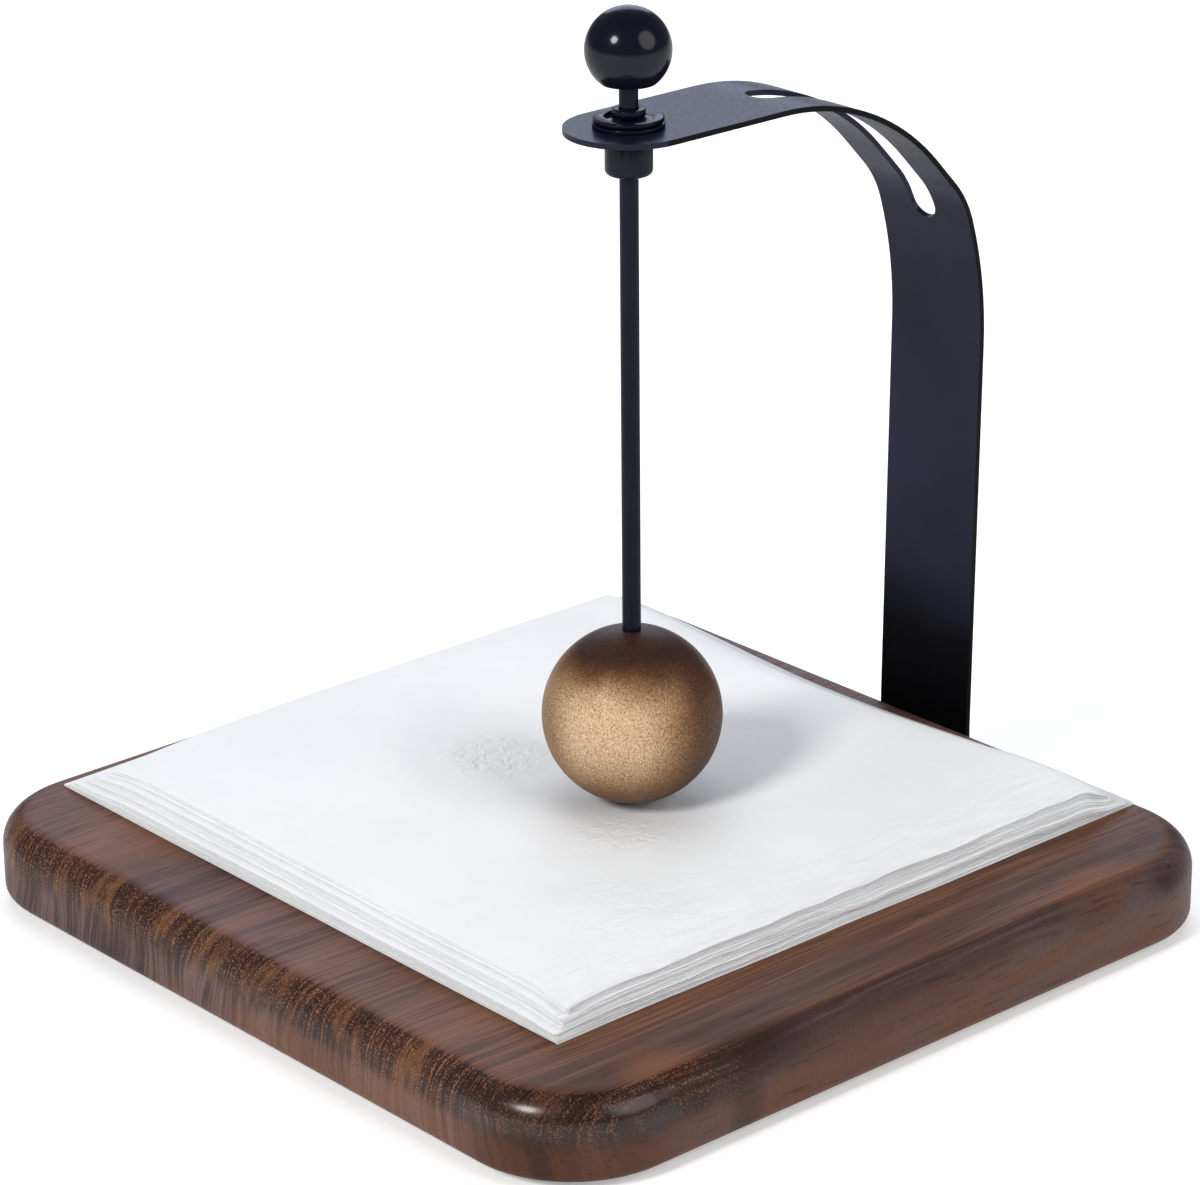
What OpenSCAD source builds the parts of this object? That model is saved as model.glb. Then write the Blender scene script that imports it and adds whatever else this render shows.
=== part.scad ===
// Napkin holder with a wooden board, a bent flat arm and a sliding weighted ball.
// The board lies in XY with +Z up, and the arm stands at the back, towards +Y.
// The origin is on the surface that the pads stand on, under the middle of the whole holder.

/* [Board] */
// Width of the board, side to side
board_w = 200; // [180:1:240]
// Depth of the board, front to back
board_d = 193.4; // [185:0.2:235]
// Thickness of the board
board_t = 18; // [16:0.5:26]
// Radius of the board's four corners seen from above
board_corner_r = 25; // [14:0.5:34]
// Radius of the soft edge round the top face
board_top_r = 6.5; // [3:0.25:8]
// Radius of the eased edge round the bottom face
board_bottom_r = 2.5; // [1:0.25:4]

/* [Arm] */
// Width of the flat arm
arm_w = 27.2; // [24:0.2:34]
// Thickness of the arm's sheet metal
arm_t = 1.2; // [1:0.1:2]
// Height of the arm's top face above the board
arm_rise = 154.3; // [130:1:190]
// Inner radius of the bend's upper part, next to the flat top
bend_top_r = 60.8; // [50:0.2:66]
// Angle that the bend's upper part turns
bend_top_a = 47; // [40:1:52]
// Length of the straight stretch inside the bend
bend_flat_l = 8.4; // [4:0.2:12]
// Inner radius of the bend's tight part
bend_tight_r = 23.8; // [18:0.2:30]
// Angle that the bend's tight part turns
bend_tight_a = 25; // [18:1:32]
// Inner radius of the bend's lower part, next to the leg
bend_low_r = 88.8; // [70:0.2:100]
// How far the leg leans back from the board to the bend
leg_back = 1.6; // [0.6:0.1:4]
// Distance from the board's back face to the rod
arm_reach = 89.2; // [80:0.2:100]
// Distance of the arm's centre line to the right of the board's middle
arm_offset = 4.7; // [-8:0.1:8]
// Width of the slot through the bend
slot_w = 7.4; // [5:0.1:10]
// Angle from the flat top to the centre of the slot's upper end
slot_top_a = 6; // [4:0.5:12]
// Angle from the lower end of the tight part to the centre of the slot's lower end
slot_low_a = 4.5; // [2:0.5:12]
// Length of the foot that is folded under the board
foot_l = 46; // [40:1:58]
// Inner radius of the fold between leg and foot
foot_fold_r = 2; // [1.5:0.1:3]
// Clearance all round the foot in its recess
recess_gap = 0.4; // [0.2:0.1:1]
// Depth of the recess under the board
recess_depth = 3.6; // [3.4:0.1:5]

/* [Arm screws] */
// Diameter of a screw's shank
screw_d = 3.5; // [3:0.1:4]
// Length of a screw below its head
screw_l = 11; // [8:0.5:11.5]
// Diameter of a screw's head
screw_head_d = 7; // [6:0.1:7.6]
// Height of a screw's head
screw_head_h = 1.9; // [1.4:0.1:2]
// Length of a screw's pointed tip
screw_tip_l = 3; // [2:0.1:4]
// Radial clearance of a screw in the foot
screw_gap = 0.25; // [0.1:0.05:0.4]
// Sideways distance between the two inner screws
screw_pitch = 13; // [10:0.5:14]
// Distance from the board's back face to the single outer screw
screw_outer_y = 14; // [11:0.5:16]
// Distance from the outer screw to the inner pair, front to back
screw_row = 15; // [10:0.5:17]
// Width of one arm of the cross recess in a screw's head
screw_cross_w = 0.9; // [0.6:0.1:1.1]
// Length of one arm of the cross recess
screw_cross_l = 4; // [3:0.1:4.6]
// Depth of the cross recess
screw_cross_depth = 1.2; // [0.8:0.1:1.3]

/* [Pads] */
// Diameter of a foot pad
pad_d = 12; // [8:0.5:18]
// Thickness of a foot pad
pad_t = 1.5; // [1:0.1:3]
// Distance from a pad's centre to the board's sides
pad_inset = 22; // [18:0.5:26]

/* [Guide] */
// Diameter of the guide's body under the arm
guide_d = 10; // [9.5:0.1:13]
// Length of the guide's body under the arm
guide_body_l = 8.6; // [6:0.1:14]
// Radius of the guide's lower edge
guide_edge_r = 1.2; // [0.5:0.1:1.8]
// Diameter of the neck that passes through the arm
neck_d = 7; // [6.8:0.1:8]
// Diameter of the groove that the clip snaps into
groove_d = 5.6; // [5.4:0.1:6]
// Height of the lip above the clip
lip_h = 1.6; // [1:0.1:2.5]
// Radial clearance of the neck in the arm and the washer
turn_gap = 0.08; // [0.04:0.01:0.1]
// Play of the guide along its axis, above and below the arm
guide_play = 0.3; // [0.2:0.05:0.4]
// Outer diameter of the washer on the arm
washer_d = 15; // [12:0.1:18]
// Thickness of the washer
washer_t = 1; // [0.8:0.1:1.6]
// Outer diameter of the clip
clip_d = 14.6; // [13:0.1:17]
// Thickness of the clip
clip_t = 1; // [0.8:0.1:1.4]
// Width of the clip's rim
clip_rim_w = 2.3; // [1.6:0.1:2.6]
// Width of the clip's three prongs
prong_w = 2.4; // [1.6:0.1:3]
// Width of the clip's open mouth
mouth_w = 6; // [4:0.1:7]
// Clearance between a prong's tip and the groove
clip_gap = 0.05; // [0.02:0.01:0.1]

/* [Press rod] */
// Diameter of the rod
rod_d = 4; // [3:0.1:4.4]
// Radial clearance of the rod in the guide
slide_gap = 0.05; // [0.03:0.01:0.1]
// Diameter of the ball
ball_d = 38.8; // [30:0.2:44]
// Gap between the ball and the dented stack
ball_gap = 0.3; // [0.2:0.05:0.5]
// Depth that the rod reaches into the ball
ball_hold = 16; // [10:0.5:20]
// Diameter of the knob
knob_d = 18; // [16:0.5:24]
// Diameter of the flat under the knob
knob_flat_d = 11.6; // [9:0.2:14]
// Bare length of rod between the guide's lip and the knob at rest
knob_gap = 5.3; // [3:0.1:7]
// Outer diameter of the threaded insert in the knob
insert_d = 6; // [5.6:0.1:6.6]
// Length of the threaded insert in the knob
insert_l = 8; // [6:0.5:10]
// Depth that the rod reaches into the knob
knob_hold = 7; // [4:0.5:9]

/* [Napkins] */
// Side of the lowest folded napkin
napkin_w = 167; // [150:1:168]
// Thickness of one folded napkin at the edge of the stack
napkin_t = 1.1; // [0.9:0.05:1.6]
// Number of folded napkins
napkin_count = 8; // [8]
// Radius of a napkin's corners
napkin_corner_r = 2; // [1:0.5:4]
// How far each napkin's edge draws in above the one below it
napkin_draw = 0.8; // [0:0.1:1.2]
// Sideways place of the lowest napkin, from the board's middle
stack_x = -9; // [-10:0.5:0]
// Front to back place of the lowest napkin, from the board's middle
stack_y = 8.8; // [0:0.1:10]
// Sideways shift of the stack from the lowest napkin to the top one
stack_lean_x = 5.5; // [0:0.5:6]
// Front to back shift of the stack from the lowest napkin to the top one
stack_lean_y = -1; // [-2:0.5:1]
// Depth of the dent that the ball presses in the top napkin
dent_depth = 4; // [2:0.1:5]
// Diameter of the dent where it starts
dent_d = 130; // [90:1:134]
// Diameter of the dent's flat bottom
dent_flat_d = 16; // [10:0.5:24]

/* [Hidden] */
// Small overshoot that carries each cut past the face it opens
cut = arm_t;
// Largest turn between two neighbouring facets of the bend
facet_a = 2.5;

board_top = pad_t + board_t;
arm_top = board_top + arm_rise;
arm_under = arm_top - arm_t;
recess_top = pad_t + recess_depth;
foot_under = recess_top - arm_t;

// The whole holder is centred: the arm's rearmost face lies behind the board by arm_behind.
arm_behind = arm_t + leg_back;
board_y = -arm_behind / 2;
back_y = board_y + board_d / 2;
foot_end_y = back_y + arm_t - foot_l;

rod_x = arm_offset;
rod_y = back_y - arm_reach;
flat_join_y = rod_y + arm_w / 2;

// Directions in (Y, Z) at angle a, where 0 points back and 90 up: across the sheet and along it.
function across(a) = [cos(a), sin(a)];
function along(a) = [-sin(a), cos(a)];

// Centres of the bend's three curved parts in (Y, Z). The tight part turns between two angles.
tight_end = 90 - bend_top_a;
tight_start = tight_end - bend_tight_a;
low_to_tight = (bend_low_r - bend_tight_r) * across(tight_start);
tight_to_top = bend_flat_l * along(tight_end) - (bend_top_r - bend_tight_r) * across(tight_end);
low_centre = [
    back_y + leg_back - bend_low_r,
    arm_under - bend_top_r - low_to_tight[1] - tight_to_top[1]
];
tight_centre = low_centre + low_to_tight;
top_centre = tight_centre + tight_to_top;

// Angle of the leg, which runs from the board's top edge and touches the bend's lower part.
leg_foot = [back_y, board_top];
leg_way = leg_foot - low_centre;
leg_lean = atan2(-leg_way[1], leg_way[0]) - acos(bend_low_r / norm(leg_way));

washer_top = arm_top + washer_t;
clip_under = washer_top + guide_play;
clip_top = clip_under + clip_t;
lip_top = clip_top + lip_h;
guide_shoulder = arm_under - guide_play;
guide_under = guide_shoulder - guide_body_l;

stack_edge_t = napkin_t * napkin_count;
dent_floor = board_top + stack_edge_t - dent_depth;
ball_z = dent_floor + ball_gap + ball_d / 2;
knob_under = lip_top + knob_gap;
knob_drop = sqrt(pow(knob_d / 2, 2) - pow(knob_flat_d / 2, 2));
knob_z = knob_under + knob_drop;
rod_bottom = ball_z + ball_d / 2 - ball_hold;
rod_top = knob_under + knob_hold;

arm_screws_xy = [
    [0, back_y - screw_outer_y],
    [-screw_pitch / 2, back_y - screw_outer_y - screw_row],
    [screw_pitch / 2, back_y - screw_outer_y - screw_row]
];

arm_black = "#17181c";
walnut = "#5b4034";
paper_white = "#eef1f3";

$fn = 96;

// Carries a drawing of (Y, Z) along X, to both sides of x = 0.
module along_x(w) {
    translate([-w / 2, 0, 0])
        rotate([90, 0, 90])
            linear_extrude(w) children();
}

// A flat tongue with one half-round end at start_y, straight to end_y.
module tongue(w, start_y, end_y, h) {
    translate([0, start_y + w / 2, 0]) {
        cylinder(d = w, h = h);
        translate([-w / 2, 0, 0]) cube([w, end_y - start_y - w / 2, h]);
    }
}

// A flat square sheet with rounded corners, centred in XY.
module rounded_sheet(w, h, r) {
    linear_extrude(h) {
        square([w - 2 * r, w], center = true);
        square([w, w - 2 * r], center = true);
        for (sx = [-1, 1], sy = [-1, 1])
            translate([sx * (w / 2 - r), sy * (w / 2 - r)]) circle(r);
    }
}

// Upright section of the board: soft top edges and eased bottom edges.
module board_section(w) {
    for (s = [-1, 1]) {
        translate([s * (w / 2 - board_top_r), board_t - board_top_r]) circle(board_top_r);
        translate([s * (w / 2 - board_bottom_r), board_bottom_r]) circle(board_bottom_r);
    }
    translate([-w / 2, board_bottom_r]) square([w, board_t - board_top_r - board_bottom_r]);
    translate([board_bottom_r - w / 2, 0]) square([w - 2 * board_bottom_r, board_t - board_top_r]);
    translate([board_top_r - w / 2, board_bottom_r]) square([w - 2 * board_top_r, board_t - board_bottom_r]);
}

// The board's blank, its edges rounded alike round straight sides and corners.
module board_blank() {
    rotate([90, 0, 0])
        linear_extrude(board_d - 2 * board_corner_r, center = true) board_section(board_w);
    rotate([90, 0, 90])
        linear_extrude(board_w - 2 * board_corner_r, center = true) board_section(board_d);
    for (sx = [-1, 1], sy = [-1, 1])
        translate([sx * (board_w / 2 - board_corner_r), sy * (board_d / 2 - board_corner_r), 0])
            rotate_extrude()
                intersection() {
                    board_section(2 * board_corner_r);
                    square([board_corner_r, board_t]);
                }
}

// Rounds the board's lower back edge where the arm folds round it.
module fold_relief() {
    translate([rod_x, 0, 0])
        along_x(arm_w + 2 * recess_gap)
            difference() {
                translate([back_y - foot_fold_r, recess_top - cut]) square([foot_fold_r + cut, foot_fold_r + cut]);
                translate([back_y - foot_fold_r, recess_top + foot_fold_r]) circle(foot_fold_r);
            }
}

module base_board() {
    color(walnut)
        difference() {
            translate([0, board_y, pad_t]) board_blank();
            translate([rod_x, 0, pad_t - cut])
                tongue(arm_w + 2 * recess_gap, foot_end_y - recess_gap, back_y + cut, recess_depth + cut);
            fold_relief();
            for (p = arm_screws_xy)
                translate([rod_x + p[0], p[1], foot_under])
                    cylinder(d = screw_d, h = screw_l);
        }
}

// Points round one part of the bend in (Y, Z), about a centre and between two angles.
function arc_points(centre, r, from, to) =
    let (count = ceil((to - from) / facet_a))
    [for (k = [0:count]) centre + r * across(from + (to - from) * k / count)];

// One face of the sheet from the leg's foot to the flat top, at a height above the inner face.
function face_points(h) = concat(
    [leg_foot + [h, 0]],
    arc_points(low_centre, bend_low_r + h, -leg_lean, tight_start),
    arc_points(tight_centre, bend_tight_r + h, tight_start, tight_end),
    arc_points(top_centre, bend_top_r + h, tight_end, 90),
    [[flat_join_y, arm_under + h]]
);

// The arm's sheet without its holes: foot, fold round the board's edge, leg, bend and flat top.
module arm_sheet() {
    outer = face_points(arm_t);
    fold_z = recess_top + foot_fold_r;
    translate([0, 0, foot_under]) tongue(arm_w, foot_end_y, back_y - foot_fold_r, arm_t);
    translate([0, back_y - foot_fold_r, fold_z])
        rotate([0, 90, 0])
            rotate_extrude(angle = 90)
                translate([foot_fold_r, -arm_w / 2]) square([arm_t, arm_w]);
    translate([-arm_w / 2, back_y, fold_z]) cube([arm_w, arm_t, board_top - fold_z]);
    along_x(arm_w)
        polygon(concat(face_points(0), [for (k = [len(outer) - 1:-1:0]) outer[k]]));
    translate([0, 0, arm_under]) tongue(arm_w, rod_y - arm_w / 2, flat_join_y, arm_t);
}

// Slot along the middle of the bend, with round ends square to the sheet.
// Each end's cylinder is turned so that its seam lies clear of the straight walls.
module arm_slot() {
    seam_turn = 45;
    high_a = 90 - slot_top_a;
    low_a = tight_start + slot_low_a;
    high = top_centre + bend_top_r * across(high_a);
    low = tight_centre + bend_tight_r * across(low_a);
    along_x(slot_w)
        polygon([
            high - cut * across(high_a), high + bend_top_r * across(high_a),
            low + bend_top_r * across(low_a), low - cut * across(low_a)
        ]);
    for (end = [[high, high_a], [low, low_a]])
        translate([0, end[0][0], end[0][1]])
            rotate([end[1] - 90, 0, 0])
                translate([0, 0, -cut])
                    rotate(seam_turn) cylinder(d = slot_w, h = arm_t + 2 * cut);
}

module support_arm() {
    color(arm_black)
        translate([rod_x, 0, 0])
            difference() {
                arm_sheet();
                arm_slot();
                translate([0, rod_y, arm_under - cut])
                    cylinder(d = neck_d + 2 * turn_gap, h = arm_t + 2 * cut);
                for (p = arm_screws_xy)
                    translate([p[0], p[1], foot_under - cut])
                        cylinder(d = screw_d + 2 * screw_gap, h = arm_t + 2 * cut);
            }
}

// One pan-head wood screw, its head's seat at z = 0 and its tip upwards.
module wood_screw() {
    shank_l = screw_l - screw_tip_l;
    difference() {
        translate([0, 0, -screw_head_h]) cylinder(d = screw_head_d, h = screw_head_h);
        for (turn = [0, 90])
            rotate(turn)
                translate([-screw_cross_l / 2, -screw_cross_w / 2, -screw_head_h - cut])
                    cube([screw_cross_l, screw_cross_w, screw_cross_depth + cut]);
    }
    cylinder(d = screw_d, h = shank_l);
    translate([0, 0, shank_l]) cylinder(d1 = screw_d, d2 = 0, h = screw_tip_l);
}

module arm_screws() {
    color("silver")
        for (p = arm_screws_xy)
            translate([rod_x + p[0], p[1], foot_under]) wood_screw();
}

// One foot pad; side is -1 for left or 1 for right, end is -1 for front or 1 for back.
module foot_pad(side, end) {
    color("dimgray")
        translate([side * (board_w / 2 - pad_inset), board_y + end * (board_d / 2 - pad_inset), 0])
            cylinder(d = pad_d, h = pad_t);
}

module arm_washer() {
    color(arm_black)
        translate([rod_x, rod_y, arm_top])
            difference() {
                cylinder(d = washer_d, h = washer_t);
                translate([0, 0, -cut]) cylinder(d = neck_d + 2 * turn_gap, h = washer_t + 2 * cut);
            }
}

// The guide: body with a rounded lower edge, neck, clip groove and lip, bored for the rod.
module guide_bushing() {
    color(arm_black)
        translate([rod_x, rod_y, guide_under])
            difference() {
                union() {
                    rotate_extrude() {
                        translate([0, guide_edge_r]) square([guide_d / 2, guide_body_l - guide_edge_r]);
                        square([guide_d / 2 - guide_edge_r, guide_body_l]);
                        translate([guide_d / 2 - guide_edge_r, guide_edge_r])
                            intersection() {
                                circle(guide_edge_r);
                                translate([-guide_edge_r, -guide_edge_r]) square(2 * guide_edge_r);
                            }
                    }
                    cylinder(d = neck_d, h = clip_under - guide_under);
                    cylinder(d = groove_d, h = lip_top - guide_under);
                    translate([0, 0, clip_top - guide_under]) cylinder(d = neck_d, h = lip_h);
                }
                translate([0, 0, -cut])
                    cylinder(d = rod_d + 2 * slide_gap, h = lip_top - guide_under + 2 * cut);
            }
}

// The clip: an open ring with three prongs that reach into the groove, its mouth to the back.
module retaining_clip() {
    tip_r = groove_d / 2 + clip_gap;
    rim_r = clip_d / 2 - clip_rim_w;
    color(arm_black)
        translate([rod_x, rod_y, clip_under])
            linear_extrude(clip_t) {
                difference() {
                    circle(d = clip_d);
                    circle(rim_r);
                    translate([-mouth_w / 2, 0]) square([mouth_w, clip_d]);
                }
                for (turn = [10, 170, 270])
                    rotate(turn)
                        translate([tip_r, -prong_w / 2]) square([rim_r + clip_rim_w / 2 - tip_r, prong_w]);
            }
}

module press_rod() {
    color(arm_black)
        translate([rod_x, rod_y, rod_bottom]) cylinder(d = rod_d, h = rod_top - rod_bottom);
}

module press_ball() {
    color("#a5834f")
        translate([rod_x, rod_y, ball_z])
            difference() {
                sphere(d = ball_d);
                translate([0, 0, rod_bottom - ball_z]) cylinder(d = rod_d, h = ball_d);
            }
}

module grip_knob() {
    color(arm_black)
        translate([rod_x, rod_y, knob_z])
            difference() {
                intersection() {
                    sphere(d = knob_d);
                    translate([0, 0, -knob_drop]) cylinder(d = 2 * knob_d, h = 2 * knob_d);
                }
                translate([0, 0, -knob_drop - cut]) cylinder(d = insert_d, h = insert_l + cut);
            }
}

module knob_insert() {
    color("goldenrod")
        translate([rod_x, rod_y, knob_under])
            difference() {
                cylinder(d = insert_d, h = insert_l);
                translate([0, 0, -cut]) cylinder(d = rod_d, h = knob_hold + cut);
            }
}

// The dent under the ball, cut to a depth from the plane z = 0 downwards, or standing out by it.
module dent(depth) {
    translate([0, 0, -depth]) cylinder(d1 = dent_flat_d, d2 = dent_d, h = depth);
}

// Depth of the dent in the top face of napkin i, counted from the lowest.
function dent_at(i) = dent_depth * i / napkin_count;

// Folded napkin i: a drawn-in sheet that sags with the dent below it and holds the dent above it.
module napkin(i) {
    rise = (i - 1) / (napkin_count - 1);
    under = board_top + napkin_t * (i - 1);
    color(paper_white)
        difference() {
            union() {
                translate([stack_x + stack_lean_x * rise, board_y + stack_y + stack_lean_y * rise, under])
                    rounded_sheet(napkin_w - 2 * napkin_draw * (i - 1), napkin_t, napkin_corner_r);
                if (i > 1)
                    translate([rod_x, rod_y, under]) dent(dent_at(i - 1));
            }
            translate([rod_x, rod_y, under + napkin_t]) dent(dent_at(i));
        }
}

base_board();
support_arm();
arm_screws();
foot_pad(-1, -1);  // pad_front_left
foot_pad(1, -1);  // pad_front_right
foot_pad(-1, 1);  // pad_back_left
foot_pad(1, 1);  // pad_back_right
arm_washer();
guide_bushing();
retaining_clip();
press_rod();
press_ball();
grip_knob();
knob_insert();
for (i = [1:napkin_count])
    napkin(i);
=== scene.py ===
"""Napkin holder: a walnut board with a lacquered strip arm, a sliding weighted ball and a stack of
folded paper napkins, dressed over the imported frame.

Everything is in metres in the frame's own axes: X to the right, Y to the back, Z up."""

import math
from functools import partial, reduce

import bmesh
import bpy
import numpy as np
from mathutils import Matrix, Vector


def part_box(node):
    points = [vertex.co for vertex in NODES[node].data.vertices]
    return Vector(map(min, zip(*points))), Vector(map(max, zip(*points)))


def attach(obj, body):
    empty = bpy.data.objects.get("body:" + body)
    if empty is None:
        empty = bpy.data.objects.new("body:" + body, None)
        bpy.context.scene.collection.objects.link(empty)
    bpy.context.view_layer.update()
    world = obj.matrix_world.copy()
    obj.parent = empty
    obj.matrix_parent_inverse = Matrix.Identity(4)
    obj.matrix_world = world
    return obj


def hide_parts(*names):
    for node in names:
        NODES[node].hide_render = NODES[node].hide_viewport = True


bl_info = {
    "name": "Napkin Holder",
    "version": (1, 0, 0),
    "blender": (4, 5, 0),
    "location": "3D View > Sidebar > Napkin Holder",
    "description": "Builds the finished surfaces of a napkin holder round its solid parts",
    "category": "Add Mesh",
}

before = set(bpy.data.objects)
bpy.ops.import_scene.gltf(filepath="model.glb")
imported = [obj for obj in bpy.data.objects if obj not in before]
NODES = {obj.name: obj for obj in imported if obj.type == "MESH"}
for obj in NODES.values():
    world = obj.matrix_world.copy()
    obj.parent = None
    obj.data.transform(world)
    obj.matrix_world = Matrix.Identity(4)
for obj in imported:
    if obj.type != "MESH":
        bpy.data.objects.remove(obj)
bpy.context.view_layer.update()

MM = 0.001


def box_of(node):
    """Lowest and highest corner of a solid part, as arrays."""
    low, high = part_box(node)
    return np.array(low), np.array(high)


def middle_of(node):
    """Centre of a solid part's box."""
    low, high = box_of(node)
    return (low + high) / 2


BOARD_LOW, BOARD_HIGH = box_of("base_board")
BOARD_FRONT, BOARD_TOP = BOARD_LOW[1], BOARD_HIGH[2]
ROD_X, ROD_Y = middle_of("press_rod")[:2]
BALL_LOW, BALL_HIGH = box_of("press_ball")
BALL_RADIUS = (BALL_HIGH[0] - BALL_LOW[0]) / 2
BALL_CENTRE = (ROD_X, ROD_Y, BALL_LOW[2] + BALL_RADIUS)
NAPKIN_NODES = [f"napkin_{i}" for i in range(1, 9)]
PADS = ["pad_front_left", "pad_front_right", "pad_back_left", "pad_back_right"]

# Points closer than this are one point when a part's loose triangles are merged
MERGE_DISTANCE = 2e-6
# Faces that turn by less than this lie in one flat face
FLAT_ANGLE = math.radians(0.4)
# Edges that turn by more than this are rounded on an eased copy
SHARP_ANGLE = math.radians(35)
# Faces that turn by less than this shade as one curve on a smooth copy
BEND_ANGLE = math.radians(20)


# Colour and shader helpers


def linear(red, green, blue):
    """A screen colour from 0 to 255 as linear light, by the sRGB curve."""
    srgb = np.array([red, green, blue]) / 255.0
    lit = np.where(srgb <= 0.04045, srgb / 12.92, ((srgb + 0.055) / 1.055) ** 2.4)
    return tuple(float(c) for c in lit)


def tinted(colour, factor):
    """A colour multiplied by one factor, or channel by channel by three."""
    return tuple(float(c) for c in np.array(tuple(colour)) * factor)


class Shader:
    """A new material and short calls that add and join its nodes."""

    def __init__(self, name):
        self.material = bpy.data.materials.new(name)
        self.material.use_nodes = True
        self.tree = self.material.node_tree
        self.surface = self.tree.nodes["Principled BSDF"]

    def node(self, kind, links=None, **settings):
        """Adds a node of a kind, sets its properties and joins its inputs."""
        made = self.tree.nodes.new(kind)
        for key, value in settings.items():
            setattr(made, key, value)
        for key, value in (links or {}).items():
            self.put(made.inputs[key], value)
        return made

    def put(self, socket, value):
        """Joins an output to a socket, or sets the socket to a constant."""
        if isinstance(value, bpy.types.NodeSocket):
            self.tree.links.new(value, socket)
        elif isinstance(value, (tuple, list)) and len(value) == 3 and socket.type == "RGBA":
            socket.default_value = (*value, 1.0)
        else:
            socket.default_value = value

    def vector(self, operation, first, second, output="Vector"):
        """One operation on two vectors."""
        made = self.node("ShaderNodeVectorMath", {0: first, 1: second}, operation=operation)
        return made.outputs[output]

    def place(self, shift=(0.0, 0.0, 0.0), scale=(1.0, 1.0, 1.0)):
        """Object coordinates, shifted and then stretched along each axis."""
        at = self.node("ShaderNodeTexCoord").outputs["Object"]
        return self.vector("MULTIPLY", self.vector("ADD", at, shift), scale)

    def axes(self, vector):
        """The three coordinates of a vector, each on its own."""
        return tuple(self.node("ShaderNodeSeparateXYZ", {"Vector": vector}).outputs)

    def noise(self, vector, pace, detail=3.0, roughness=0.5, distortion=0.0):
        """Smooth noise from 0 to 1. The pace is how fast it changes along each axis."""
        links = {
            "Vector": self.vector("MULTIPLY", vector, pace),
            "Scale": 1.0,
            "Detail": detail,
            "Roughness": roughness,
            "Distortion": distortion,
        }
        return self.node("ShaderNodeTexNoise", links).outputs["Fac"]

    def math(self, operation, first, second=0.0):
        """One operation on two numbers."""
        made = self.node("ShaderNodeMath", {0: first, 1: second}, operation=operation)
        return made.outputs[0]

    def plus(self, *values):
        """Sum of numbers."""
        return reduce(partial(self.math, "ADD"), values)

    def times(self, *values):
        """Product of numbers."""
        return reduce(partial(self.math, "MULTIPLY"), values)

    def remap(self, value, low, high, to_low=0.0, to_high=1.0):
        """A value carried from one range to another, held at the ends and eased between them."""
        links = {
            "Value": value,
            "From Min": low,
            "From Max": high,
            "To Min": to_low,
            "To Max": to_high,
        }
        made = self.node("ShaderNodeMapRange", links, interpolation_type="SMOOTHSTEP")
        return made.outputs["Result"]

    def ramp(self, value, stops):
        """Colours by position along a value from 0 to 1."""
        made = self.node("ShaderNodeValToRGB", {"Fac": value})
        band = made.color_ramp
        while len(band.elements) < len(stops):
            band.elements.new(1.0)
        for element, (position, colour) in zip(band.elements, stops):
            element.position = position
            element.color = (*colour, 1.0)
        return made.outputs["Color"]

    def mix(self, amount, first, second, blend="MIX"):
        """Two colours mixed by an amount. The node's colour sockets are inputs 6 and 7, output 2."""
        made = self.node("ShaderNodeMix", data_type="RGBA", blend_type=blend)
        self.put(made.inputs["Factor"], amount)
        self.put(made.inputs[6], first)
        self.put(made.inputs[7], second)
        return made.outputs[2]

    def bump(self, height, strength, distance):
        """Surface relief from a height."""
        links = {"Height": height, "Strength": strength, "Distance": distance}
        return self.node("ShaderNodeBump", links).outputs["Normal"]

    def spot(self, at, centre, inner, outer):
        """One inside a ball round a point, zero outside a larger one, and eased between them."""
        far = self.vector("DISTANCE", at, centre, output="Value")
        return self.remap(far, inner, outer, 1.0, 0.0)

    def finish(self, **sockets):
        """Sets the surface's sockets by name, with spaces written as underscores."""
        for key, value in sockets.items():
            self.put(self.surface.inputs[key.replace("_", " ")], value)
        return self.material


# Mesh helpers


def add_piece(name, mesh):
    """A new object in the scene that holds a mesh."""
    piece = bpy.data.objects.new(name, mesh)
    bpy.context.scene.collection.objects.link(piece)
    return piece


def build_piece(name, points, faces, material, smooth=True):
    """A mesh object at the origin from arrays of points and of quads."""
    mesh = bpy.data.meshes.new(name)
    mesh.from_pydata(np.asarray(points, float).tolist(), [], np.asarray(faces).tolist())
    mesh.update()
    if smooth:
        mesh.shade_smooth()
    mesh.materials.append(material)
    return add_piece(name, mesh)


def grid_quads(rows, columns):
    """Quads of an open grid whose points are numbered row by row."""
    index = np.arange(rows * columns).reshape(rows, columns)
    corners = (index[:-1, :-1], index[:-1, 1:], index[1:, 1:], index[1:, :-1])
    return np.stack([c.ravel() for c in corners], axis=1)


def merged_mesh(node, name, material, whole_faces):
    """A copy of a solid part's mesh with its loose triangles merged, in a new material.

    Where whole faces are asked for, the triangles of each flat stretch become one face."""
    mesh = NODES[node].data.copy()
    mesh.name = name
    work = bmesh.new()
    work.from_mesh(mesh)
    bmesh.ops.remove_doubles(work, verts=work.verts, dist=MERGE_DISTANCE)
    if whole_faces:
        bmesh.ops.dissolve_limit(work, angle_limit=FLAT_ANGLE, verts=work.verts, edges=work.edges)
    work.to_mesh(mesh)
    work.free()
    mesh.materials.clear()
    mesh.materials.append(material)
    mesh.shade_smooth()
    return mesh


def eased_copy(node, name, width, material):
    """A copy of a solid part with its sharp edges rounded, which then stands for that part."""
    piece = add_piece(name, merged_mesh(node, name, material, whole_faces=True))
    bevel = piece.modifiers.new("edge round", "BEVEL")
    bevel.width = width
    bevel.segments = 2
    bevel.limit_method = "ANGLE"
    bevel.angle_limit = SHARP_ANGLE
    bevel.harden_normals = True
    bevel.use_clamp_overlap = True
    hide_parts(node)
    return piece


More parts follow.
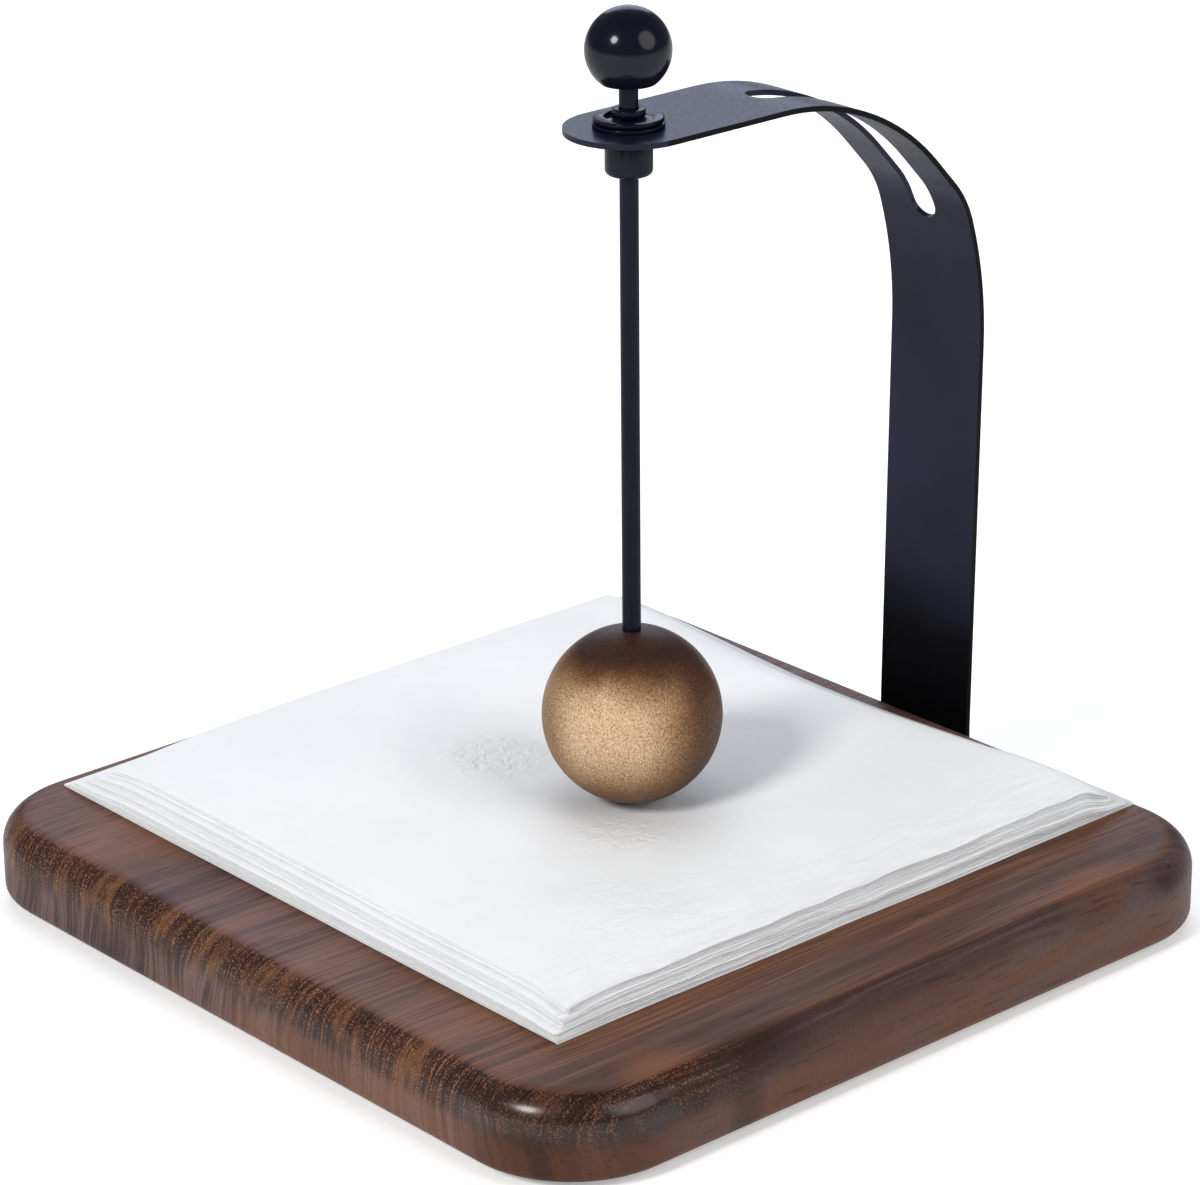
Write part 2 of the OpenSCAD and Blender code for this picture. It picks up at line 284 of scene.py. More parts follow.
def read_all(items, key, width=1):
    """One property of every item of a mesh, as an array with a row for each item."""
    values = np.empty(len(items) * width)
    items.foreach_get(key, values)
    return values.reshape(len(items), width)


def smooth_copy(node, name, material):
    """A copy of a solid part whose bends shade as smooth curves, and which then stands for it.

    The triangles of one flat face share their rounded normal and their rounded distance from the
    origin. A corner's normal is the sum of the normals of all flat faces that meet at its point
    and turn little from its own face, each times that flat face's whole area, so wide flats stay
    flat and the narrow facets of a bend blend into each other."""
    mesh = merged_mesh(node, name, material, whole_faces=False)
    facing = read_all(mesh.polygons, "normal", 3)
    area = read_all(mesh.polygons, "area")
    offset = np.sum(facing * read_all(mesh.polygons, "center", 3), axis=1, keepdims=True)
    # Adding zero turns a rounded minus zero into zero
    keys = np.hstack([np.round(facing, 3), np.round(offset, 5)]) + 0.0
    flat = np.unique(keys, axis=0, return_inverse=True)[1].ravel()
    pull = np.stack([np.bincount(flat, weights=n) for n in (facing * area).T], axis=1)
    turned = pull / np.linalg.norm(pull, axis=1, keepdims=True)
    owner = np.repeat(np.arange(len(flat)), read_all(mesh.polygons, "loop_total").ravel().astype(int))
    point = read_all(mesh.loops, "vertex_index").ravel().astype(int)
    meeting = np.unique(np.stack([point, flat[owner]], axis=1), axis=0)
    first = np.searchsorted(meeting[:, 0], point, side="left")
    after = np.searchsorted(meeting[:, 0], point, side="right")
    normals = np.zeros((len(point), 3))
    for step in range(int((after - first).max())):
        other = meeting[np.minimum(first + step, after - 1), 1]
        close = np.sum(turned[other] * facing[owner], axis=1) > math.cos(BEND_ANGLE)
        counts = close & (first + step < after)
        normals += np.where(counts[:, None], pull[other], 0.0)
    normals /= np.linalg.norm(normals, axis=1, keepdims=True)
    mesh.normals_split_custom_set(normals.tolist())
    piece = add_piece(name, mesh)
    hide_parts(node)
    return piece


def dress(node, material):
    """Gives a solid part its finished material and leaves its mesh alone."""
    part = NODES[node]
    for slot in part.material_slots:
        slot.material = material
    if not part.material_slots:
        part.data.materials.append(material)


# Materials


# Soft spots in the walnut: centre, stretch along each axis, radius that is filled, radius where
# it ends, share, tint and strength of the tint
WOOD_SPOTS = (
    ((0.0985, -0.0735, 0.0135), (1.0, 0.6, 1.0), 0.0012, 0.0045, 0.6, "dark", 0.5),
    ((0.0975, 0.0720, 0.0150), (1.0, 0.5, 1.0), 0.0008, 0.0045, 0.7, "dark", 0.5),
    ((0.0975, -0.0450, 0.0165), (0.8, 0.33, 1.0), 0.0008, 0.0065, 0.75, "dark", 0.8),
    ((0.1000, -0.0500, 0.0080), (0.6, 1.0, 0.35), 0.0010, 0.0065, 0.45, "dark", 1.0),
    ((0.0940, -0.0670, 0.0180), (0.8, 0.7, 1.0), 0.0020, 0.0090, 0.55, "warm", 0.8),
    ((0.0960, 0.0560, 0.0180), (0.8, 0.5, 1.0), 0.0020, 0.0085, 0.50, "warm", 0.8),
)
# Layer number of the dark streak painted as shade along the right rounded edge, and the square of its
# half width
SHADED_LAYER = 0.1065
SHADED_LAYER_REACH = 0.0000085
# Direction of the side on which the ball is painted darker, as shade
SHADED_SIDE = (0.66, 0.75, 0.0)
# Places between umber and full gold on the ball, and the gold's tint at each
GOLD_TINTS = (
    (0.12, (0.155, 0.10, 0.075)),
    (0.24, (0.30, 0.22, 0.155)),
    (0.38, (0.47, 0.375, 0.28)),
    (0.72, (0.89, 0.86, 0.82)),
)
BRIGHTEST_GOLD = 1.22
# Dull black painted as shade towards the arm's foot, and black of a strip's cut edges
FOOT_SHADE_BLACK = (0.0022, 0.0019, 0.0026)
CUT_BLACK = (0.0020, 0.0020, 0.0034)
# Crinkled places on the top napkin: centre, radius that is filled, radius where it ends, share
CRINKLES = (
    ((-0.0285, -0.0060, 0.0260), 0.006, 0.0150, 1.0),
    ((0.0200, -0.0110, 0.0255), 0.004, 0.0145, 1.0),
    ((0.0500, -0.0380, 0.0280), 0.004, 0.0240, 0.5),
)


def walnut_material(finish):
    """Lacquered walnut: growth layers stand on edge across the board, so streaks run front to back.

    The layer number is X plus a slow drift; noise that is long in Y and short in X gives streaks on
    the long faces and upright curly lines on the end grain, and thresholded noise gives the pores.
    The rounded top edge at the front shows the pores cut open, as warm flecks on a dark ground; the
    dark ground is partly painted shade on that edge, and the bright flecks are partly painted glints."""
    s = Shader("walnut lacquer")
    at = s.place()
    right, depth, height = s.axes(at)
    slow = s.noise(at, (11.0, 2.6, 16.0), detail=2.0)
    ripple = s.noise(at, (60.0, 9.0, 90.0), detail=2.0)
    drift = s.plus(s.times(slow, 0.03), s.times(ripple, 0.0030))
    layers = s.vector("ADD", at, s.node("ShaderNodeCombineXYZ", {"X": drift}).outputs[0])
    broad = s.noise(layers, (45.0, 4.5, 7.0), roughness=0.55)
    line = s.noise(layers, (420.0, 12.0, 16.0), roughness=0.65)
    fine = s.noise(layers, (1350.0, 30.0, 55.0), detail=2.0, roughness=0.6)
    face = s.remap(height, BOARD_TOP - 0.0006, BOARD_TOP - 0.00005)
    tone = s.plus(s.times(broad, 0.32), s.times(line, 0.28), s.times(fine, 0.40))
    tone = s.remap(tone, 0.37, 0.65)
    tone = s.mix(face, s.remap(tone, 0.0, 1.0, 0.14, 0.88), s.remap(tone, 0.0, 1.0, 0.24, 0.84))
    tone = s.mix(s.remap(right, 0.0945, 0.0985), tone, s.remap(tone, 0.0, 1.0, 0.34, 0.78))

    tints = {"dark": tuple(finish.wood_dark), "warm": tuple(finish.wood_warm)}
    dark, warm, light = tints["dark"], tints["warm"], tuple(finish.wood_light)
    middle = tuple((a + b) * 0.46 for a, b in zip(dark, light))
    wood = s.ramp(tone, [(0.0, dark), (0.5, middle), (1.0, light)])
    warmth = s.remap(s.noise(at, (16.0, 5.0, 60.0), detail=2.0), 0.44, 0.66)
    wood = s.mix(s.times(warmth, 0.50), wood, warm)
    # A dark growth layer placed along the right rounded edge, where it stands for painted shade
    across = s.math("SUBTRACT", s.axes(layers)[0], SHADED_LAYER)
    streak = s.remap(s.times(across, across), 0.0, SHADED_LAYER_REACH, 1.0, 0.0)
    wood = s.mix(s.times(streak, 0.45), wood, dark)
    for centre, stretch, inner, outer, share, tint, strength in WOOD_SPOTS:
        place = tuple(c * k for c, k in zip(centre, stretch))
        inside = s.spot(s.vector("MULTIPLY", at, stretch), place, inner, outer)
        wood = s.mix(s.times(inside, share), wood, tinted(tints[tint], strength))

    edge = rounded_edge(s, at)
    patch = s.remap(s.noise(layers, (125.0, 14.0, 45.0), roughness=0.65), 0.52, 0.70)
    pore = s.noise(at, (3300.0, 2100.0, 2700.0), detail=2.0, roughness=0.7)
    fleck = s.remap(s.plus(pore, s.times(s.math("SUBTRACT", fine, 0.5), 0.5)), 0.51, 0.70)
    # Cut-open pores on the rounded front edge: the dark ground is partly painted shade, the bright
    # flecks partly painted glints
    dark_and_shade = s.mix(patch, tinted(dark, (0.70, 0.50, 0.38)), tinted(warm, 0.42))
    flecks_and_glints = s.mix(fleck, dark_and_shade, tinted(warm, (1.45, 1.40, 1.35)))
    wood = s.mix(s.times(edge, 0.88), wood, flecks_and_glints)
    wood = s.mix(s.times(patch, end_grain(s, depth, height), 0.35), wood, warm)
    pits = s.remap(s.noise(layers, (1300.0, 70.0, 1300.0), detail=1.0), 0.62, 0.72)
    wood = s.mix(s.times(pits, 0.4), wood, tinted(dark, 0.6))
    corner = s.math("SUBTRACT", right, depth)
    # Painted light and shade: each face of the board gets its own brightness and tint
    wood = s.mix(1.0, wood, painted_face_light(s, at, tone, face, corner), blend="MULTIPLY")
    sheen = s.times(edge, s.remap(corner, 0.162, 0.174, 0.10, 0.55))
    relief = s.math("SUBTRACT", s.times(fine, 0.5), pits)
    relief = s.plus(relief, s.times(edge, pore, 1.6))
    return s.finish(
        Base_Color=wood,
        Roughness=s.remap(fine, 0.3, 0.7, 0.42, 0.52),
        Specular_IOR_Level=0.08,
        Coat_Weight=s.plus(sheen, 0.03),
        Coat_Roughness=0.22,
        Coat_IOR=1.5,
        Normal=s.bump(relief, 0.3, 0.0002),
    )


def painted_face_light(s, at, tone, face, corner):
    """Painted light and shade on the walnut's faces: the top is painted lighter than the sides and
    grows warmer to the right, the front is cool and lighter than the right side, the right side is
    cool on its light lines with a fine upright hatch, and the corner between them darker."""
    right = s.axes(at)[0]
    upper = s.mix(s.remap(right, -0.03, 0.085), (1.18, 1.17, 1.20), (1.34, 1.15, 0.84))
    cool = s.mix(tone, (0.98, 0.88, 0.82), (0.57, 0.85, 1.20))
    hatch = s.remap(s.noise(at, (200.0, 1500.0, 330.0), detail=2.0), 0.36, 0.64, 0.93, 1.06)
    cool = s.mix(1.0, cool, hatch, blend="MULTIPLY")
    lower = s.mix(s.remap(right, 0.0900, 0.0970), (1.08, 1.22, 1.43), cool)
    lower = s.mix(s.remap(corner, 0.164, 0.176), lower, (0.60, 0.60, 0.66))
    return s.mix(face, lower, upper)


def end_grain(s, depth, height):
    """How far a point is on the board's front side, from 0 to 1, fading out towards its foot."""
    rise = s.remap(height, BOARD_LOW[2] + 0.002, BOARD_TOP - 0.006)
    return s.times(rise, s.remap(depth, BOARD_FRONT + 0.004, BOARD_FRONT + 0.020, 1.0, 0.0))


def rounded_edge(s, at):
    """How far a point is on the rounded top edge of the board's front, from 0 to 1."""
    depth, height = s.axes(at)[1:]
    wander = s.times(s.noise(at, (55.0, 20.0, 20.0), detail=2.0), 0.005)
    low = s.remap(s.plus(height, wander), BOARD_TOP - 0.0085, BOARD_TOP - 0.0045)
    high = s.remap(height, BOARD_TOP - 0.0005, BOARD_TOP - 0.0001, 1.0, 0.0)
    front = s.remap(depth, BOARD_FRONT + 0.028, BOARD_FRONT + 0.060, 1.0, 0.0)
    return s.times(low, high, front)


def lacquer_material(name, colour, roughness, gloss, foot=None, half=None):
    """Gloss black lacquer on metal, with the faint unevenness that a sprayed coat dries with.

    gloss is the weight of the clear coat. Where foot gives two heights, coat and colour fade to a
    dull black from the upper height down to the lower one, as painted shade. half is half the width
    of a strip that runs past the rod: its cut edges are darker and get less coat."""
    s = Shader(name)
    at = s.place()
    wave = s.noise(at, (60.0, 60.0, 60.0), detail=2.0)
    grit = s.noise(at, (1500.0, 1500.0, 1500.0), detail=1.0)
    relief = s.plus(wave, s.times(grit, 0.01))
    shade = s.mix(s.remap(wave, 0.3, 0.7), tuple(colour), tinted(colour, 1.4))
    weight = gloss
    if foot:
        # Painted shade: colour and coat fade to black towards the foot
        rise = s.remap(s.plus(s.axes(at)[2], s.times(wave, 0.012)), *foot)
        shade = s.mix(rise, FOOT_SHADE_BLACK, shade)
        weight = s.times(rise, gloss)
    if half:
        side = s.math("ABSOLUTE", s.axes(s.place((-ROD_X, 0.0, 0.0)))[0])
        cut = s.remap(side, half - 0.00012, half - 0.00003, 1.0, 0.0)
        shade = s.mix(cut, CUT_BLACK, shade)
        weight = s.times(weight, s.plus(s.times(cut, 0.6), 0.4))
    return s.finish(
        Base_Color=shade,
        Roughness=s.remap(grit, 0.35, 0.65, 0.45, 0.55),
        Specular_IOR_Level=0.03,
        Coat_Weight=weight,
        Coat_Roughness=roughness,
        Coat_IOR=1.5,
        Coat_Normal=s.bump(relief, 0.15, 0.00004),
    )


def ball_material(finish):
    """Speckled antique gold under a sprayed umber cap, painted darker towards the bottom and on both
    sides as shade.

    Coordinates are in ball radii from the ball's centre. How much of the gold shows falls off
    upwards, under the umber cap, and downwards and to both sides, as painted shade; it is broken up
    by soft clouds and by small upright flecks, and picks the paint's colour from umber to gold."""
    s = Shader("antique gold paint")
    at = s.place(tuple(-c for c in BALL_CENTRE), (1 / BALL_RADIUS,) * 3)
    cloud = s.noise(at, (2.4, 2.4, 2.4))
    fleck = s.noise(at, (58.0, 58.0, 40.0), detail=2.0, roughness=0.7)
    grain = s.noise(at, (120.0, 120.0, 80.0), detail=1.0)
    speck = s.plus(s.times(fleck, 0.6), s.times(grain, 0.4))
    drift = s.times(s.math("SUBTRACT", cloud, 0.5), 0.17)
    height = s.plus(s.axes(at)[2], drift)
    side = s.plus(s.vector("DOT_PRODUCT", at, SHADED_SIDE, output="Value"), drift)
    # Umber cap at the top, and painted shade at the bottom and on both sides
    clear_of_cap_and_shade = s.times(
        s.remap(height, 0.30, 0.86, 1.0, 0.03),
        s.remap(height, -0.90, 0.05, 0.22, 1.0),
        s.remap(side, -0.02, 0.82, 1.0, 0.14),
        s.remap(side, -1.02, -0.55, 0.40, 1.0),
    )
    flecks = s.times(s.math("SUBTRACT", speck, 0.5), 3.2)
    shown = s.plus(s.times(clear_of_cap_and_shade, s.plus(flecks, 1.0)), s.times(flecks, 0.13))
    gold = tuple(finish.gold)
    stops = [(0.0, tuple(finish.umber))]
    stops += [(position, tinted(gold, tint)) for position, tint in GOLD_TINTS]
    stops += [(1.0, tuple(min(1.0, c * BRIGHTEST_GOLD) for c in gold))]
    return s.finish(
        Base_Color=s.ramp(s.times(shown, 0.78), stops),
        Metallic=0.12,
        Roughness=s.remap(speck, 0.35, 0.65, 0.56, 0.48),
        Specular_IOR_Level=0.2,
        Specular_Tint=(0.5, 0.47, 0.46),
        Coat_Weight=0.07,
        Coat_Roughness=0.25,
        Normal=s.bump(speck, 0.15, 0.0001),
    )


def paper_material(finish):
    """Soft white tissue: crossed fibres, faint cockling, crinkles where the ball has pressed, and
    ridges along the open edges at the right, with painted shade in the troughs between them."""
    s = Shader("tissue paper")
    at = s.place()
    fibre = s.noise(at, (1500.0, 1500.0, 1500.0), roughness=0.65)
    cloud = s.noise(at, (40.0, 40.0, 40.0))
    cockle = s.noise(at, (70.0, 28.0, 70.0), distortion=0.5)
    crease = s.noise(at, (230.0, 160.0, 230.0), distortion=0.8)
    dimple = s.noise(at, (400.0, 300.0, 400.0), detail=2.0, distortion=1.2)
    ridge = s.noise(at, (330.0, 75.0, 500.0), distortion=0.6)
    hem = s.remap(s.axes(at)[0], 0.050, 0.071)
    pressed = 0.0
    for centre, inner, outer, share in CRINKLES:
        pressed = s.math("MAXIMUM", pressed, s.times(s.spot(at, centre, inner, outer), share))
    height = s.plus(
        s.times(cockle, 3.0),
        s.times(fibre, 0.10),
        s.times(crease, 0.5),
        s.times(pressed, dimple, 4.2),
        s.times(hem, ridge, 5.0),
    )
    white = tuple(finish.paper)
    sheet = s.mix(s.remap(cloud, 0.3, 0.7), tinted(white, 0.965), white)
    # Painted shade: darker towards the right edge, in stripes between the ridges
    ridge_shade = s.mix(s.remap(ridge, 0.35, 0.65), tinted(white, 0.95), white)
    return s.finish(
        Base_Color=s.mix(s.times(hem, 0.6), sheet, ridge_shade),
        Roughness=0.92,
        Specular_IOR_Level=0.2,
        Subsurface_Weight=0.35,
        Subsurface_Radius=(1.0, 0.97, 0.93),
        Subsurface_Scale=0.0015,
        Sheen_Weight=0.1,
        Sheen_Roughness=0.5,
        Normal=s.bump(height, 0.42, 0.0006),
    )


def plain_material(name, colour, roughness, metallic=0.0, grit=1200.0, depth=0.00003):
    """Small hidden parts: one tone broken up by fine grit in colour and relief."""
    s = Shader(name)
    grain = s.noise(s.place(), (grit, grit, grit), detail=2.0)
    worn = s.mix(s.remap(grain, 0.3, 0.7), tinted(colour, 0.8), tinted(colour, 1.15))
    return s.finish(
        Base_Color=worn,
        Metallic=metallic,
        Roughness=s.remap(grain, 0.3, 0.7, roughness * 0.85, min(1.0, roughness * 1.15)),
        Normal=s.bump(grain, 0.3, depth),
    )


# Napkins


# For each napkin from the lowest up: how loosely its folded edges lie on the one below, and how
# far its front edge is drawn back, in millimetres
FOLD_GAPS = (0.0, 0.1, 0.9, 0.1, 0.2, 1.1, 0.1, 0.5)
FRONT_SHIFTS = (0.0, -0.5, -1.0, 0.5, 0.0, -0.5, 0.7, 0.2)
# How far each napkin's right edge falls short of the right edge of the one below
RIGHT_STEP = 0.28 * MM
# Radius of a napkin's inner fold, and samples round each fold
BEND = 0.00036
FOLD_STEPS = 9
# Half the side of the finely sampled square under the ball
CLOSE_REACH = 0.046
# Reach of the wide bowl and of the narrow pit that the ball presses
BOWL_REACH = 0.068
PIT_REACH = 0.019
# Reach inwards of the ruffles at the open edges, and of the looser folds at the folded edges
OPEN_REACH = 0.022
FOLDED_REACH = 0.020
# Waves added up in each ply's gap
WAVES = 6


def eased(share):
    """A share held between 0 and 1 and eased at both ends."""
    held = np.clip(share, 0, 1)
    return held * held * (3 - 2 * held)


def hill(x, y, centre, reach):
    """A soft hill of height one: e to minus the sum of the squared distances from its centre along
    X and Y, each measured in its own reach."""
    return np.exp(-(((x - centre[0]) / reach[0]) ** 2) - ((y - centre[1]) / reach[1]) ** 2)


def near_edge(distance, reach):
    """The square of a share that grows from 0 at the reach to 1 at the edge, and to 1.2 past it."""
    return np.clip(1 - distance / reach, 0, 1.2) ** 2


def blend(weights, values):
    """Sum of values times their weights."""
    return sum(w * v for w, v in zip(weights, values))


class Stack:
    """Heights of every ply in the stack of folded napkins.

    The whole thickness T(x, y) is the thickness at the edges, less the dent under the ball, plus
    soft wrinkles. Ply k lies at the share of T that its gaps add up to, and each gap is a positive
    smooth field, so no two plies ever cross."""

    PLIES = 4
    SEED = 7

    def __init__(self, props):
        self.props = props
        self.count = len(NAPKIN_NODES)
        self.boxes = [box_of(node) for node in NAPKIN_NODES]
        self.floor = self.boxes[0][0][2]
        self.full = self.boxes[-1][1][2] - self.floor
        plies = self.count * self.PLIES
        random = np.random.default_rng(self.SEED)
        self.waves = random.uniform(-1, 1, (plies, WAVES, 4))
        self.shares = random.uniform(0.75, 1.25, plies)

    def thickness(self, x, y):
        """Thickness of the whole stack: dent, soft edges and broad waves."""
        far = np.hypot(x - ROD_X, y - ROD_Y)
        bowl = eased(1 - far / BOWL_REACH)
        pit = np.exp(-((far / PIT_REACH) ** 2))
        dent = self.props.dent_depth * (0.62 * bowl + 0.38 * pit)
        wave = np.sin(x * 95 + y * 60 + 0.6) * np.sin(y * 80 - x * 38 + 2.0)
        wave = wave + 0.6 * np.sin(x * 31 + y * 190 + 1.0) * np.sin(x * 120 - y * 26)
        wave = 0.00015 * wave * np.clip(far / 0.05, 0, 1)
        return (self.full - dent + wave - 0.0003) * self.edge_droop(x, y)

    def edge_droop(self, x, y):
        """Share of the thickness left near each edge: the stack is thinnest at the back, thinner at
        the front left corner and at the right, where its edge also swells and sinks in waves."""
        low, high = self.boxes[-1]
        along = np.clip((x - low[0]) / (high[0] - low[0]), 0, 1)
        sag = self.back_sag(x)
        back = eased((high[1] + 0.0005 - y) / (0.010 + 0.008 * sag))
        left = eased((x - low[0]) / 0.010)
        front = eased((y - low[1]) / (0.004 + 0.006 * along))
        right = eased((high[0] - x) / 0.014)
        past = eased((y - high[1]) / 0.006)
        rim = 0.47 - 0.17 * sag + 0.10 * eased((x - 0.030) / 0.020)
        share = (rim + (1 - rim) * back - 0.12 * past) * (0.95 + 0.05 * left)
        share = share * (1 - 0.40 * hill(x, y, self.boxes[0][0], (0.016, 0.026)))
        swell = 0.5 + 0.5 * np.sin(330 * y + 1.7 * np.sin(95 * y) + 480 * x)
        share = share * (1 - 0.05 * swell * (1 - eased((high[0] - 0.001 - x) / 0.016)))
        return share * (1 - (0.04 + 0.12 * along) * (1 - front)) * (0.76 + 0.24 * right)

    @staticmethod
    def back_sag(x):
        """How much the back edges sag and draw forwards behind the ball, from 0 to 1."""
        return np.exp(-(((x + 0.016) / 0.044) ** 2))

    def creases(self, x, y):
        """Raised folds on the top ply only: a ring that runs outwards round the ball, and short
        strokes in front of it and to its right."""
        far = np.hypot(x - ROD_X, y - ROD_Y)
        angle = np.arctan2(y - ROD_Y, x - ROD_X)
        ring = np.exp(-(((far - 0.030) / 0.010) ** 2))
        ridge = np.clip(np.sin(angle * 9 + far * 120 + 0.5), 0, 1) ** 3
        near = hill(x, y, (0.0200, -0.0080), (0.012, 0.009))
        stroke = np.clip(np.sin((x * 0.35 - y) * 900 + 1.1 * np.sin(x * 320)), 0, 1) ** 2
        return self.props.crease * (0.35 * ring * ridge + near * stroke)

    def gaps(self, x, y):
        """Gap under each ply as a positive field, widest at the open edges, right and back.

        A gap is e to a sum of sine waves of random pace and phase, which fades out inwards; the
        first ply of a napkin gets more, so that the napkins part at their edges."""
        low, high = self.boxes[0]
        right = near_edge(high[0] - x, OPEN_REACH)
        back = near_edge(high[1] - y, OPEN_REACH)
        front = near_edge(y - low[1], FOLDED_REACH)
        left = near_edge(x - low[0], FOLDED_REACH)
        opened = np.clip(right + back, 0, 1)
        folded = np.clip(front + left, 0, 1)
        fields = []
        for k, w in enumerate(self.waves):
            wave = sum(
                a * np.sin((50 + 150 * abs(b)) * y + 3.1 * c + (25 + 60 * d) * x)
                for a, b, c, d in w
            )
            across = sum(
                b * np.sin((60 + 120 * abs(a)) * x + 3.1 * d + 30 * c * y)
                for a, b, c, d in w
            )
            ruffle = np.sin((300 + 260 * w[0, 3]) * y + 6 * w[1, 0])
            ruffle = ruffle + np.sin((380 + 200 * w[2, 1]) * y + 9 * w[3, 2])
            growth = (0.30 * wave + 0.16 * ruffle) * opened + 0.10 * across * folded
            gap = self.shares[k] * np.exp(growth)
            if k % self.PLIES == 0:
                gap = gap + folded * 0.6 * FOLD_GAPS[k // self.PLIES] + opened * 0.35
            fields.append(gap)
        return np.stack(fields)

    def plies_of(self, i, x, y):
        """Heights of the four plies of napkin i at x, y, from the lowest up."""
        gaps = self.gaps(x, y)
        whole = gaps.sum(axis=0)
        own = slice(i * self.PLIES, (i + 1) * self.PLIES)
        share = np.cumsum(gaps, axis=0)[own] / whole - gaps[own] * 0.5 / whole
        return self.floor + self.thickness(x, y) * share


def spaced(stretches):
    """Samples along stretches that follow each other, each with its own step, and the last end."""
    runs = []
    for start, end, step in stretches:
        count = max(1, math.ceil((end - start) / step))
        runs.append(np.linspace(start, end, count, endpoint=False))
    return np.concatenate(runs + [[stretches[-1][1]]])


def fold_samples(first, second, steps):
    """Places along one flat direction of a napkin folded once across it.

    Returns for each sample the folded distance from the crease, or minus one in the crease itself,
    and the sine and cosine of the fold angle: the sine is minus one on the first ply and one on the
    second. first and second are the stretches from the crease outwards on the two plies."""
    near, far = spaced(first), spaced(second)
    angle = np.linspace(-math.pi / 2, math.pi / 2, steps + 2)[1:-1]
    distance = np.concatenate([near[::-1], np.full(steps, -1.0), far])
    sine = np.concatenate([-np.ones(len(near)), np.sin(angle), np.ones(len(far))])
    cosine = np.concatenate([np.zeros(len(near)), np.cos(angle), np.zeros(len(far))])
    return distance, sine, cosine


def stretches_of(side, centre, start, close):
    """Stretches along one side of a napkin: fine at both edges, coarse between them, and finer
    round the ball where close is true."""
    coarse, fine = ((0.0034, 0.0012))
    near, far = centre - CLOSE_REACH, centre + CLOSE_REACH
    return [
        (start, 0.012, 0.0015),
        (0.012, near, coarse),
        (near, far, fine if close else coarse),
        (far, side - 0.016, coarse),
        (side - 0.016, side, 0.0016),
    ]


def folded_napkin(stack, i, material, thickness):
    """One napkin folded in four, as a single sheet with its two creases at the left and the front.

    The flat sheet has s across and t along. Folding once along t and then along s gives four
    plies; the height between plies is blended by the two fold angles, so the creases are round."""
    low, high = (corner.copy() for corner in stack.boxes[i])
    low[1] += FRONT_SHIFTS[i] * MM
    high[0] -= RIGHT_STEP * i
    top = i == stack.count - 1
    side_x, side_y = high[0] - low[0], high[1] - low[1]
    outer = 1.5 * BEND
    across = [stretches_of(side_x, ROD_X - low[0], outer, close) for close in (False, top)]
    along = [stretches_of(side_y, ROD_Y - low[1], outer, close) for close in (top, False)]
    samples = zip(fold_samples(*across, FOLD_STEPS), fold_samples(*along, FOLD_STEPS))
    (far_s, far_t), (sine_s, sine_t), (cosine_s, cosine_t) = (
        np.meshgrid(s, t, indexing="ij") for s, t in samples
    )
    across = np.where(far_s < 0, outer - BEND * (1 - 0.5 * sine_t) * cosine_s, far_s)
    along = np.where(far_t < 0, BEND * 0.6 * (1 - cosine_t), far_t)
    random = np.random.default_rng(100 + i)
    trims = random.uniform(-1, 1, 2) * 0.8 + random.uniform(-1, 1, (4, 2)) * 0.3
    lower, upper = (1 - sine_s) / 2, (1 + sine_s) / 2
    first, second = (1 - sine_t) / 2, (1 + sine_t) / 2
    weights = (lower * first, lower * second, upper * second, upper * first)
    x, y = drawn_in(stack, i, (low, high), (across, along), far_t, weights, trims)
    z = blend(weights, stack.plies_of(i, x, y))
    if top:
        z = z + stack.creases(x, y) * upper * first
    points = np.stack([x, y, z], axis=-1).reshape(-1, 3)
    piece = build_piece(f"folded_napkin_{i + 1}", points, grid_quads(*x.shape), material)
    squeezed = piece.vertex_groups.new(name="squeezed")
    room = np.clip(stack.thickness(x, y) / stack.full, 0.05, 1.0).ravel()
    for level in np.unique(np.round(room, 2)):
        inside = np.flatnonzero(np.round(room, 2) == level)
        squeezed.add(inside.tolist(), float(level), "REPLACE")
    solid = piece.modifiers.new("tissue", "SOLIDIFY")
    solid.vertex_group = "squeezed"
    solid.thickness_vertex_group = 0.0
    solid.thickness = thickness
    solid.offset = 0.0
    solid.use_even_offset = False
    return piece


def drawn_in(stack, i, box, place, far_t, weights, trims):
    """Places in X and Y of a folded napkin's samples, with its open edges drawn in unevenly.

    Each ply's open edge falls short by its own trim, which grows with the cube of the distance from
    the crease. The back edges are drawn forwards behind the ball, the front left corner is drawn
    back, and the whole napkin is turned by a small angle."""
    (low, high), (across, along) = box, place
    trim = stack.props.trim
    u, v = across / (high[0] - low[0]), along / (high[1] - low[1])
    wave = np.sin(far_t * 95 + i) * 0.25 + np.sin(far_t * 41 + 2 * i) * 0.4
    pull_x, pull_y = (abs(blend(weights, column) * trim) for column in trims.T)
    across = across - u**3 * (pull_x + trim * 0.5 * (1 + wave))
    sag = 4.2 * MM * stack.back_sag(low[0] + across)
    along = along - v**3 * (pull_y + trim * 0.3 + sag)
    along = along + 1.4 * MM * np.clip(1 - u, 0, 1) ** 1.5 * np.clip(1 - v, 0, 1)
    turn = math.radians(trims[0, 0] * 0.25)
    middle = (low + high) / 2
    x, y = low[0] + across - middle[0], low[1] + along - middle[1]
    return middle[0] + x - turn * y, middle[1] + y + turn * x


# What a user can change


